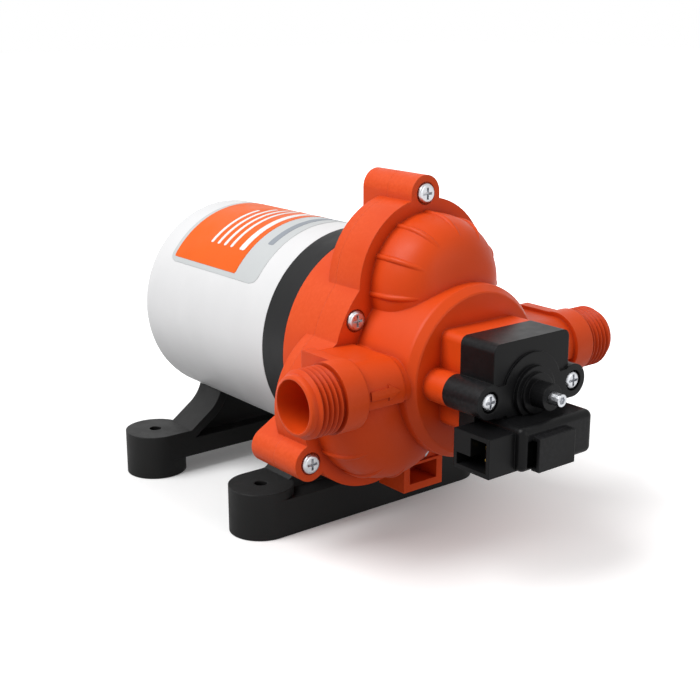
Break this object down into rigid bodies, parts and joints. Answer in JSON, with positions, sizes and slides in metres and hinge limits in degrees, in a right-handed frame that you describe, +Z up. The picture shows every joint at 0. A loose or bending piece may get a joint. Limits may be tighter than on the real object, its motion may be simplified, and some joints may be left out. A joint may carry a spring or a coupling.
{
  "type": "diaphragm pump",
  "caption": "Motor-driven diaphragm water pump with a lobed head, threaded side ports, a pressure switch on the front and rubber feet.",
  "frame": {"origin": "centre of the four foot holes, on the base plane under the feet", "axes": "+Z up; the motor shaft lies along Y with the pump head towards -Y; the ports lie along X, the inlet towards -X and the outlet towards +X"},
  "size_m": [0.1298, 0.1862, 0.1217],
  "materials": {
    "white_can": "satin",
    "label": "satin",
    "black_plastic": "satin",
    "black_metal": "satin",
    "orange_plastic": "satin",
    "zinc_steel": "satin",
    "bearing_steel": "polished",
    "bronze": "satin",
    "ferrite": "matt",
    "lamination": "matt",
    "copper": "gloss",
    "carbon": "matt",
    "card": "matt",
    "brass": "gloss",
    "rubber": "matt",
    "black_rubber": "matt",
    "white_plastic": "satin",
    "grey_plastic": "satin"
  },
  "bodies": {
    "pump_body": {"motor_can": "white_can", "label": "label", "motor_front_plate": "black_metal", "rear_bush": "bronze", "field_magnets": "ferrite", "through_bolts": "zinc_steel", "brush_card": "card", "brush_holders": "brass", "brushes": "carbon", "brush_springs": "zinc_steel", "front_bearing_outer": "bearing_steel", "drive_housing": "orange_plastic", "housing_screws": "zinc_steel", "diaphragm": "rubber", "valve_plate": "grey_plastic", "inlet_valves": "rubber", "outlet_valve": "rubber", "valve_gasket": "rubber", "pump_head": "orange_plastic", "head_screws": "zinc_steel", "switch_diaphragm": "rubber", "switch_spring": "zinc_steel", "switch_housing": "black_plastic", "switch_screws": "zinc_steel", "microswitch": "grey_plastic", "connector_housing": "black_plastic", "terminals": "brass", "front_foot": "black_rubber", "rear_foot": "black_rubber", "foot_screws": "zinc_steel"},
    "rotor": {"front_bearing_inner": "bearing_steel", "motor_shaft": "zinc_steel", "armature_core": "lamination", "armature_winding": "copper", "commutator": "copper", "eccentric_hub": "zinc_steel", "wobble_bearing_inner": "bearing_steel"},
    "front_balls": {"front_bearing_balls": "bearing_steel"},
    "wobble_balls": {"wobble_bearing_balls": "bearing_steel"},
    "wobble_drive": {"wobble_bearing_outer": "bearing_steel", "wobble_plate": "white_plastic", "pistons": "white_plastic", "piston_screws": "zinc_steel"},
    "plunger": {"switch_plunger": "white_plastic"},
    "button": {"microswitch_button": "white_plastic"},
    "seat": {"spring_seat": "zinc_steel"},
    "adjuster": {"adjusting_screw": "zinc_steel"}
  },
  "joints": [
    {"name": "rotor_spin", "type": "hinge", "parent": "pump_body", "child": "rotor", "pos_m": [0, 0, 0.062], "axis": [0, -1, 0], "continuous": true},
    {"name": "front_balls_roll", "type": "hinge", "parent": "pump_body", "child": "front_balls", "pos_m": [0, 0, 0.062], "axis": [0, -1, 0], "continuous": true},
    {"name": "wobble_turn", "type": "hinge", "parent": "rotor", "child": "wobble_drive", "pos_m": [0, -0.05945, 0.062], "axis": [0, -0.9986, -0.0523], "continuous": true, "deforming": ["diaphragm"]},
    {"name": "wobble_balls_roll", "type": "hinge", "parent": "rotor", "child": "wobble_balls", "pos_m": [0, -0.05945, 0.062], "axis": [0, -0.9986, -0.0523], "continuous": true},
    {"name": "plunger_travel", "type": "slide", "parent": "pump_body", "child": "plunger", "axis": [0, -1, 0], "range_m": [0, 0.0009], "stiffness_N_per_m": 2000, "springref_m": -0.003, "deforming": ["switch_spring"]},
    {"name": "button_travel", "type": "slide", "parent": "pump_body", "child": "button", "axis": [0, -1, 0], "range_m": [0, 0.0009]},
    {"name": "seat_travel", "type": "slide", "parent": "pump_body", "child": "seat", "axis": [0, -1, 0], "range_m": [-0.00035, 0.0007]},
    {"name": "adjuster_turn", "type": "hinge", "parent": "seat", "child": "adjuster", "pos_m": [0, 0, 0.062], "axis": [0, -1, 0], "range_deg": [-180, 360]}
  ],
  "couplings": [
    {"joint": "wobble_turn", "follows": "rotor_spin", "ratio": -1},
    {"joint": "wobble_balls_roll", "follows": "rotor_spin", "ratio": -0.6136},
    {"joint": "front_balls_roll", "follows": "rotor_spin", "ratio": 0.36747},
    {"joint": "button_travel", "follows": "plunger_travel", "ratio": 1},
    {"joint": "adjuster_turn", "follows": "seat_travel", "rad_per_m": 8975.9}
  ]
}
